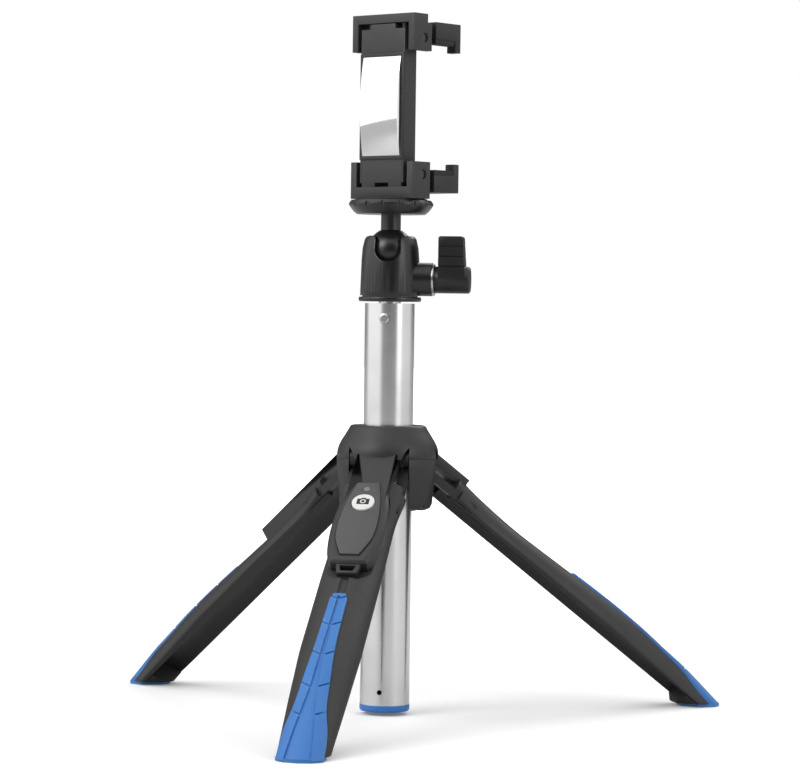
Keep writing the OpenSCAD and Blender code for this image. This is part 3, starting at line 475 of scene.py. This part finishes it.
def sectorBlock(name, radius, halfAngle, zLow, zHigh):
    # a pie slice about the pole's axis, spun from a flat face
    bpy.ops.object.select_all(action="DESELECT")
    bpy.ops.mesh.primitive_plane_add(size=1, location=(0, 0, 0))
    obj = bpy.context.active_object
    obj.name = name
    inner = 2.0
    turn = Matrix.Rotation(math.radians(-90 - halfAngle), 4, "Z")
    stand = Matrix.Rotation(math.radians(90), 4, "X")
    obj.matrix_world = (turn @ Matrix.Translation(((inner + radius) / 2 * mm, 0,
                                                   (zLow + zHigh) / 2 * mm))
                        @ stand @ Matrix.Diagonal(((radius - inner) * mm, (zHigh - zLow) * mm, 1, 1)))
    bpy.context.view_layer.update()
    placeInMesh(obj)
    beginEdit(obj, "FACE")
    bpy.ops.mesh.spin(steps=40, angle=math.radians(2 * halfAngle), center=(0, 0, 0), axis=(0, 0, 1))
    endEdit()
    tidyMesh(obj)
    return obj


def legBody():
    first, last = leg["stations"][0][0], leg["stations"][-1][0]
    shares = [first + (last - first) * i / leg["rings"] for i in range(leg["rings"] + 1)]
    body = loft("legBody", [legRing(k) for k in shares], 64)
    a = math.radians(leg["sideAngle"])
    for side in (1, -1):    # the two faces that meet the other legs when folded
        trim(body, (0, -leg["sideGap"] / math.sin(a), 0),
             (-side * math.cos(a), -math.sin(a), 0))
    trim(body, (0, 0, -leg["shoulder"]), (0, 0, -1))
    trimSole(body, leg["soleLift"])
    tidyMesh(body, 0.01)
    easeEdges(body, 0.45, 3, 34)
    return body


def neckPlate():
    neck = {"half": 7.7, "inner": 1.55, "outer": 5.6, "wrap": 55.0, "below": 21.6}
    bpy.ops.object.select_all(action="DESELECT")
    middle = leg["pivotOut"] + (neck["inner"] + neck["outer"]) / 2
    bpy.ops.mesh.primitive_plane_add(size=1, location=(0, -middle * mm, 0),
                                     scale=(1, 1, 1))
    plate = bpy.context.active_object
    plate.scale = (2 * neck["half"] * mm, (neck["outer"] - neck["inner"]) * mm, 1)
    plate.name = "neckPlate"
    placeInMesh(plate)
    beginEdit(plate, "FACE")
    bpy.ops.mesh.spin(steps=14, angle=math.radians(neck["wrap"]),
                      center=(0, -leg["pivotOut"] * mm, 0), axis=(-1, 0, 0))
    endEdit()
    pickFaces(plate, lambda c, n: abs(c.z) < 0.01 and abs(n.z) > 0.9)
    bpy.ops.mesh.extrude_region_move(TRANSFORM_OT_translate={"value": (0, 0, -neck["below"] * mm)})
    endEdit()
    tidyMesh(plate)
    easeEdges(plate, 0.6, 3, 50)
    return plate


legTemplate = legBody()
carve(legTemplate, neckPlate(), "UNION")
carve(legTemplate, rod("channelCut", (0, 0, -190), (0, 0, 10), leg["channel"], 128))
carve(legTemplate, sectorBlock("linerCut", leg["liner"], leg["linerAngle"], -200,
                               -leg["shoulder"] + 1))
for side in (1, -1):
    carve(legTemplate, slab("lobeCut", (12.0 if side > 0 else -60, -60, -20.9),
                            (60 if side > 0 else -12.0, 60, 1)))
    carve(legTemplate, slab("barCut", (8.78 if side > 0 else -12.02, -10.6, -29.72),
                            (12.02 if side > 0 else -8.78, -6.8, 1)))
carve(legTemplate, slab("heelCut", (-8.62, -10.72, -190), (8.62, 1, -leg["heel"])))
print("leg template ready")

grip = {"start": 0.498, "proud": 0.85, "floorLift": 0.7, "soleTop": 1.18,
        # share of the strip's length, half width
        "outline": [(0.0, 3.35), (0.31, 4.05), (0.5, 5.35), (0.64, 6.4), (0.73, 8.2), (0.8, 8.8),
                    (1.0, 9.0)],
        "valley": [(0.0, 0.55), (0.3, 0.9), (0.5, 1.5), (0.64, 2.6), (0.75, 3.9), (0.9, 5.2),
                   (1.0, 5.6)],
        "valleyDepth": 0.75, "steps": (87, 102, 118, 134.5, 149), "stepDepth": 0.5, "stepTilt": 34}


def planStrip(name, outline, span, depths, grow=0.0, rows=40, endTrim=0.0):
    # a flat strip on a leg, widened row by row, then drawn outwards between two depths
    low, high = span
    bpy.ops.object.select_all(action="DESELECT")
    bpy.ops.mesh.primitive_grid_add(x_subdivisions=1, y_subdivisions=rows, size=1, location=(0, 0, 0))
    strip = bpy.context.active_object
    strip.name = name
    strip.matrix_world = (Matrix.Translation((0, -depths[0] * mm, -(low + high) / 2 * mm))
                          @ Matrix.Rotation(math.radians(90), 4, "X")
                          @ Matrix.Diagonal((2 * mm, (high - low + 2 * grow) * mm, 1, 1)))
    bpy.context.view_layer.update()
    placeInMesh(strip)
    pitch = (high - low + 2 * grow) / rows
    for i in range(rows + 1):
        s = low - grow + pitch * i
        share = min(1.0, max(0.0, (s - low) / (high - low)))
        half = eased(outline, share, 1) + grow - (endTrim if i in (0, rows) else 0)
        pickPoints(strip, lambda p, s=s: abs(p.z + s) < pitch * 0.3)
        bpy.ops.transform.resize(value=(half, 1, 1), center_override=(0, -depths[0] * mm, -s * mm))
        endEdit()
    beginEdit(strip, "FACE")
    bpy.ops.mesh.extrude_region_move(
        TRANSFORM_OT_translate={"value": (0, -(depths[1] - depths[0]) * mm, 0)})
    endEdit()
    tidyMesh(strip)
    return strip


gripSpan = (grip["start"] * leg["length"], 1.05 * leg["length"])


def surfaceLoft(name, proud, first, last, rings=40):
    return loft(name, [legRing(first + (last - first) * i / rings, proud)
                       for i in range(rings + 1)], 64)


def gripStrip():
    strip = surfaceLoft("gripStrip", grip["proud"], 0.45, 1.05)
    carve(strip, surfaceLoft("gripInner", -1.35, 0.4, 1.1))
    carve(strip, planStrip("gripEdge", grip["outline"], gripSpan, (8.0, 28.0), -0.12, 40, 1.0),
          "INTERSECT")
    valley = planStrip("valley", grip["valley"], (gripSpan[0] + 1.5, gripSpan[1]), (8.0, 28.0))
    carve(valley, surfaceLoft("valleyFloor", grip["proud"] - grip["valleyDepth"], 0.4, 1.1))
    carve(strip, valley)
    easeEdges(strip, 0.3, 2, 40)
    trimSole(strip, grip["floorLift"])
    for s in grip["steps"]:    # a chevron groove at every scale
        crest = leg["channel"] + eased(leg["stations"], s / leg["length"], 2) + grip["proud"]
        for side in (1, -1):
            bpy.ops.object.select_all(action="DESELECT")
            bpy.ops.mesh.primitive_cube_add(size=1)
            nick = bpy.context.active_object
            nick.matrix_world = (Matrix.Translation((0, -crest * mm, -s * mm))
                                 @ Matrix.Rotation(math.radians(side * 7), 4, "Z")
                                 @ Matrix.Rotation(math.radians(-side * grip["stepTilt"]), 4, "Y")
                                 @ Matrix.Translation((side * 5.5 * mm, 0, 0))
                                 @ Matrix.Diagonal((11 * mm, 2 * grip["stepDepth"] * mm, 0.8 * mm, 1)))
            bpy.context.view_layer.update()
            placeInMesh(nick)
            carve(strip, nick)
    return strip


gripTemplate = gripStrip()
grooveCut = planStrip("grooveCut", grip["outline"], gripSpan, (8.0, 28.0), 0.03, 40, 1.0)
carve(grooveCut, surfaceLoft("grooveFloor", -1.3, 0.4, 1.1))
carve(legTemplate, grooveCut)
print("grip template ready")

remote = {
    "low": 12.8, "shoulder": 16.6, "plateTop": 18.78, "buttonAt": 34.2, "buttonRadius": 4.5,
    "ledAt": 26.2,
    # share of the length, half width
    "outline": [(0.0, 6.0), (0.06, 7.0), (0.15, 8.3), (0.3, 9.9), (0.45, 10.6), (0.6, 10.7),
                (0.75, 10.3), (0.88, 9.5), (0.95, 8.6), (1.0, 7.2)],
    "plate": [(0.0, 4.3), (0.1, 5.2), (0.25, 6.5), (0.45, 7.5), (0.62, 7.7), (0.78, 7.1),
              (0.9, 5.4), (1.0, 3.7)],
    "loop": [(0.0, 5.4), (0.5, 4.7), (1.0, 3.9)],
    "slot": [(0.0, 3.2), (0.5, 2.9), (1.0, 2.4)],
    "pocket": [(0.0, 9.9), (0.4, 9.6), (0.7, 8.2), (0.88, 6.4), (1.0, 4.6)],
}
remoteSpan = (19.7, 66.7)
plateSpan = (22.3, 63.6)

for side, azimuth in legAngles.items():
    shell = copyOf(legTemplate, "leg_body_" + side)
    if side == "front":
        carve(shell, planStrip("remoteCut", remote["outline"], remoteSpan, (12.5, 40), 0.35))
        carve(shell, planStrip("remoteRim", remote["outline"], remoteSpan, (14.6, 40), 1.15))
        carve(shell, planStrip("loopCut", remote["pocket"], (60.0, 73.6), (12.5, 40), 0.0, 24))
        carve(shell, rod("cordGroove", (0, -15.9, -70), (0, -16.7, -85.2), 1.75))
    selectOnly(shell)
    bpy.ops.object.shade_smooth_by_angle(angle=math.radians(36))
    placeInMesh(shell, legPlace(azimuth))
    finishPiece(shell, paint["charcoal_plastic"], "leg_shell_" + side)
    strip = copyOf(gripTemplate, "grip_strip_" + side)
    selectOnly(strip)
    bpy.ops.object.shade_smooth_by_angle(angle=math.radians(34))
    placeInMesh(strip, legPlace(azimuth))
    sole = copyOf(frame["nodes"]["leg_grip_" + side], "sole_" + side)
    sole.parent = None
    sole.matrix_world = Matrix.Identity(4)
    beginEdit(sole)
    bpy.ops.mesh.remove_doubles(threshold=0.002 * mm)
    endEdit()
    trim(sole, (0, 0, grip["soleTop"]), (0, 0, -1))
    selectOnly(sole)
    bpy.ops.mesh.customdata_custom_splitnormals_clear()
    sole.select_set(True)
    selectOnly(strip)
    sole.select_set(True)
    bpy.ops.object.join()
    bpy.ops.object.shade_smooth_by_angle(angle=math.radians(34))
    finishPiece(strip, paint["blue_rubber"], "leg_grip_" + side)
for spare in (legTemplate, gripTemplate):
    bpy.data.objects.remove(spare, do_unlink=True)
print("legs ready")

# ---- remote ----


def outwardFaces(obj, depth):
    # the faces that look out from the leg at one depth
    pickFaces(obj, lambda c, n: n.y < -0.9 and abs(c.y + depth) < 0.05)


def buttonBore(name, radius, at, depths):
    return rod(name, (0, -depths[0], -at), (0, -depths[1], -at), radius)


case = planStrip("remote_case", remote["outline"], remoteSpan, (remote["low"], remote["shoulder"]))
outwardFaces(case, remote["shoulder"])
bpy.ops.mesh.inset(thickness=0.55 * mm, depth=0.75 * mm)
bpy.ops.mesh.inset(thickness=0.7 * mm, depth=0.55 * mm)
bpy.ops.mesh.inset(thickness=0.9 * mm, depth=0.25 * mm)
endEdit()
tidyMesh(case)
loop = planStrip("loop", remote["loop"], (64.5, 71.6), (13.7, 16.3), 0.0, 12)
easeEdges(loop, 0.5, 3)
carve(loop, planStrip("loopSlot", remote["slot"], (67.6, 70.5), (10, 20), 0.0, 8))
carve(case, loop, "UNION")
plateWell = planStrip("plateWell", remote["plate"], plateSpan, (17.6, 25), 0.3, 30)
carve(case, plateWell)
carve(case, buttonBore("bore", remote["buttonRadius"] + 0.3, remote["buttonAt"], (14, 25)))
easeEdges(case, 0.3, 3, 30)
placeInMesh(case, legPlace(0))
finishPiece(case, paint["charcoal_plastic"], "remote_case_base", "remote_case_top")

plate = planStrip("remote_plate", remote["plate"], plateSpan, (17.62, remote["plateTop"]), 0.0, 30)
carve(plate, buttonBore("bore", remote["buttonRadius"] + 0.25, remote["buttonAt"], (14, 25)))
carve(plate, buttonBore("bore", 1.27, remote["ledAt"], (14, 25)))
easeEdges(plate, 0.22, 3, 30)
placeInMesh(plate, legPlace(0))
finishPiece(plate, paint["face_plastic"], "remote_face_plate")

button = rod("shutter_button", (0, -16.9, -remote["buttonAt"]), (0, -19.3, -remote["buttonAt"]),
             remote["buttonRadius"], 64)
pickFaces(button, lambda c, n: n.y < -0.9)
bpy.ops.mesh.inset(thickness=0.5 * mm, depth=0.14 * mm)
bpy.ops.mesh.inset(thickness=1.2 * mm, depth=0.05 * mm)
endEdit()
easeEdges(button, 0.12, 2)
placeInMesh(button, legPlace(0))
finishPiece(button, paint["white_plastic"], "remote_button")

# a plain camera sign on the button
sign = {"half": (2.45, 1.6), "base": 19.44, "top": 19.56, "ring": (1.15, 0.72)}
mark = slab("camera_sign", (-sign["half"][0], -sign["top"], -remote["buttonAt"] - sign["half"][1]),
            (sign["half"][0], -sign["base"], -remote["buttonAt"] + sign["half"][1]))
hump = slab("hump", (-0.9, -sign["top"], -remote["buttonAt"] + 1.0),
            (0.9, -sign["base"], -remote["buttonAt"] + 2.1))
carve(mark, hump, "UNION")
easeEdges(mark, 0.25, 2, 60)
ring = rod("lens_sign", (0, -sign["base"], -remote["buttonAt"]),
           (0, -sign["top"] - 0.05, -remote["buttonAt"]), sign["ring"][0])
carve(ring, rod("ringHole", (0, -15, -remote["buttonAt"]), (0, -25, -remote["buttonAt"]),
                sign["ring"][1]))
for piece, tone in ((mark, "liner_plastic"), (ring, "white_plastic")):
    placeInMesh(piece, legPlace(0))
    piece.data.materials.clear()
    piece.data.materials.append(paint[tone])
    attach(piece, "shutter_button")
print("remote ready")

# ---- hub ----
hub = {
    "pivotUp": 103.246, "slotHalf": 12.3, "pocket": 6.0, "neckHalf": 8.05,
    # radius, height of the cap's section
    "section": [(20.35, 103.246), (20.5, 103.5), (20.48, 105.2), (20.2, 106.9), (19.6, 108.6),
                (18.7, 110.3), (17.7, 111.9), (16.7, 113.5), (15.75, 115.1), (15.35, 115.85),
                (14.95, 116.25), (14.4, 116.446), (12.2, 116.446), (11.7, 116.2), (11.36, 115.6),
                (11.36, 109.6), (10.6, 109.6), (10.6, 103.246)],
}
cap = turned("hub_dome", hub["section"], 128)
for azimuth in legAngles.values():
    turn = Matrix.Rotation(math.radians(azimuth), 4, "Z")
    cutters = [rod("knucklePocket", (-hub["slotHalf"], -12, hub["pivotUp"]),
                   (hub["slotHalf"], -12, hub["pivotUp"]), hub["pocket"], 64),
               slab("innerPocket", (-hub["slotHalf"], -12, 102), (hub["slotHalf"], -8, 109.246))]
    neckPath = slab("neckPath", (-hub["neckHalf"], -hub["pocket"], -60), (hub["neckHalf"], 0, 0))
    placeInMesh(neckPath, Matrix.Translation((0, -12 * mm, hub["pivotUp"] * mm))
                @ Matrix.Rotation(math.radians(-leg["open"]), 4, "X"))
    for cutter in cutters + [neckPath]:
        placeInMesh(cutter, turn)
        carve(cap, cutter)
easeEdges(cap, 0.3, 3, 36, 40)
finishPiece(cap, paint["charcoal_plastic"], "hub_cap")
print("hub ready")

# ---- eased copies of the machined and moulded pieces ----
easedNodes = {
    "hub_lobes": 0.9, "base_flange": 0.2, "ball_housing": 0.35, "knob": 0.45,
    "knob_washer": 0.15, "thumb_ring": 0.25, "platform_pad": 0.1, "clamp_body": 0.35,
    "mirror_bezel": 0.2, "mirror": 0.2, "lower_bracket": 0.4, "upper_bracket": 0.4,
    "upper_arm": 0.45, "lower_arm": 0.45, "pole_foot_plug": 0.15,
}
soft = {node: softened(node, paint[nodeSlot[node]], width) for node, width in easedNodes.items()}
knobLines = {"heights": (5.2, 9.2, 13.2), "depth": 0.45, "turn": 5.5, "up": 175.1, "start": 18.2}
for height in knobLines["heights"]:    # shallow steps across the wing
    for side in (1, -1):
        line = slab("knobLine", (knobLines["start"] - 2, 4.3 if side > 0 else -9,
                                 height), (knobLines["start"] + 16, 9 if side > 0 else -4.3,
                                           height + 0.55))
        placeInMesh(line, Matrix.Rotation(math.radians(knobLines["turn"]), 4, "Z")
                    @ Matrix.Translation((0, 0, knobLines["up"] * mm)))
        carve(soft["knob"], line)
print("eased pieces ready")

# ---- stage, light and camera ----
studio = {"floor": (0.92, 0.92, 0.92), "floorDim": (0.58, 0.58, 0.58), "world": 1.0, "key": 8.0, "fill": 3.0, "rim": 5.0}
bpy.ops.object.select_all(action="DESELECT")
bpy.ops.mesh.primitive_plane_add(size=1, location=(0, 0, -0.0002))
sweep = bpy.context.active_object
sweep.name = "sweep"
sweep.scale = (14, 14, 1)
placeInMesh(sweep)
floorFinish = bpy.data.materials.new("paleFloor")
floorFinish.use_nodes = True
floorTree = floorFinish.node_tree
floorShader = floorTree.nodes["Principled BSDF"]
floorShader.inputs["Roughness"].default_value = 0.85
floorShader.inputs["Specular IOR Level"].default_value = 0.2
floorPlace = addNode(floorTree, "ShaderNodeTexCoord")
floorReach = addNode(floorTree, "ShaderNodeVectorMath", [(0, floorPlace.outputs["Object"])],
                     operation="LENGTH")
floorFade = addNode(floorTree, "ShaderNodeMapRange", [("Value", floorReach.outputs["Value"]),
                                                      ("From Min", 0.15), ("From Max", 1.6),
                                                      ("To Min", 0.12), ("To Max", 1.0)])
floorShader.inputs["Emission Color"].default_value = (1, 1, 1, 1)
# the glow and the paleness are for the camera only, so that metal reflects a dimmer floor
floorSeen = addNode(floorTree, "ShaderNodeLightPath")
floorGlow = addNode(floorTree, "ShaderNodeMath", [(0, floorFade.outputs[0]),
                                                  (1, floorSeen.outputs["Is Camera Ray"])],
                    operation="MULTIPLY")
floorTree.links.new(floorGlow.outputs[0], floorShader.inputs["Emission Strength"])
floorTone = addNode(floorTree, "ShaderNodeMix", data_type="RGBA")
floorTree.links.new(floorSeen.outputs["Is Camera Ray"], floorTone.inputs[0])
floorTone.inputs[6].default_value = (*studio["floorDim"], 1)
floorTone.inputs[7].default_value = (*studio["floor"], 1)
floorTree.links.new(floorTone.outputs[2], floorShader.inputs["Base Color"])
sweep.data.materials.append(floorFinish)

world = bpy.data.worlds.new("studioAir")
bpy.context.scene.world = world
world.use_nodes = True
airTree = world.node_tree
air = airTree.nodes["Background"]
air.inputs["Strength"].default_value = studio["world"]
toward = addNode(airTree, "ShaderNodeTexCoord")
turnAir = addNode(airTree, "ShaderNodeMapping", [("Vector", toward.outputs["Generated"]),
                                                ("Rotation", (0, 0, math.radians(-12.5)))])
splitAir = addNode(airTree, "ShaderNodeSeparateXYZ", [(0, turnAir.outputs[0])])
ramp = addNode(airTree, "ShaderNodeValToRGB")
rampStops = [(0.0, 0.03), (0.07, 0.05), (0.14, 1.3), (0.66, 1.3), (0.82, 0.2), (1.0, 0.2)]
halfY = addNode(airTree, "ShaderNodeMapRange", [("Value", splitAir.outputs["Y"]), ("From Min", -1.0),
                                                ("From Max", 1.0)])
airTree.links.new(halfY.outputs[0], ramp.inputs["Fac"])
while len(ramp.color_ramp.elements) < len(rampStops):
    ramp.color_ramp.elements.new(0.5)
for element, (place, value) in zip(ramp.color_ramp.elements, rampStops):
    element.position = place
    element.color = (value, value, value, 1)
sideAir = addNode(airTree, "ShaderNodeMapRange", [("Value", splitAir.outputs["X"]),
                                                  ("From Min", -0.4), ("From Max", 0.4),
                                                  ("To Min", 1.0), ("To Max", 0.66)])
litAir = addNode(airTree, "ShaderNodeMix", data_type="RGBA", blend_type="MULTIPLY")
litAir.inputs[0].default_value = 1.0
airTree.links.new(ramp.outputs[0], litAir.inputs[6])
airTree.links.new(sideAir.outputs[0], litAir.inputs[7])
seen = addNode(airTree, "ShaderNodeLightPath")
pale = addNode(airTree, "ShaderNodeMix", data_type="RGBA")
airTree.links.new(seen.outputs["Is Camera Ray"], pale.inputs[0])
airTree.links.new(litAir.outputs[2], pale.inputs[6])
pale.inputs[7].default_value = (1, 1, 1, 1)
airTree.links.new(pale.outputs[2], air.inputs["Color"])


def softbox(name, position, target, size, power):
    lamp = bpy.data.lights.new(name, "AREA")
    lamp.shape = "RECTANGLE"
    lamp.size, lamp.size_y = size
    lamp.energy = power
    holder = bpy.data.objects.new(name, lamp)
    bpy.context.scene.collection.objects.link(holder)
    holder.location = position
    holder.rotation_euler = (Vector(target) - Vector(position)).to_track_quat("-Z", "Y").to_euler()
    return holder


softbox("keyBox", (-0.9, -1.1, 1.1), (0, 0, 0.14), (0.8, 0.8), studio["key"])
softbox("fillBox", (1.2, -0.7, 0.6), (0, 0, 0.14), (0.6, 0.9), studio["fill"])
softbox("rimBox", (0.3, 1.1, 1.0), (0, 0, 0.14), (0.9, 0.6), studio["rim"])

view = {"turn": 12.5, "distance": 1.2653, "height": 0.1641, "pitch": 0.0260, "yaw": 0.0036,
        "roll": 0.0137, "lens": 141.4, "sensor": 36.0}


def cameraMatrix():
    cp, sp = math.cos(view["pitch"]), math.sin(view["pitch"])
    cy, sy = math.cos(view["yaw"]), math.sin(view["yaw"])
    cr, sr = math.cos(view["roll"]), math.sin(view["roll"])
    ahead = Vector((cp * sy, cp * cy, -sp))
    right = Vector((cy, -sy, 0))
    up = Vector((sp * sy, sp * cy, cp))
    tiltRight = right * cr + up * sr
    tiltUp = up * cr - right * sr
    frameAxes = Matrix((tiltRight, tiltUp, -ahead)).transposed().to_4x4()
    stand = Matrix.Translation((0, -view["distance"], view["height"])) @ frameAxes
    return Matrix.Rotation(math.radians(view["turn"]), 4, "Z") @ stand


lensData = bpy.data.cameras.new("camera")
lensData.lens, lensData.sensor_width = view["lens"], view["sensor"]
camera = bpy.data.objects.new("camera", lensData)
bpy.context.scene.collection.objects.link(camera)
camera.matrix_world = cameraMatrix()
bpy.context.scene.camera = camera
bpy.context.scene.view_settings.view_transform = "Standard"
print("studio ready")
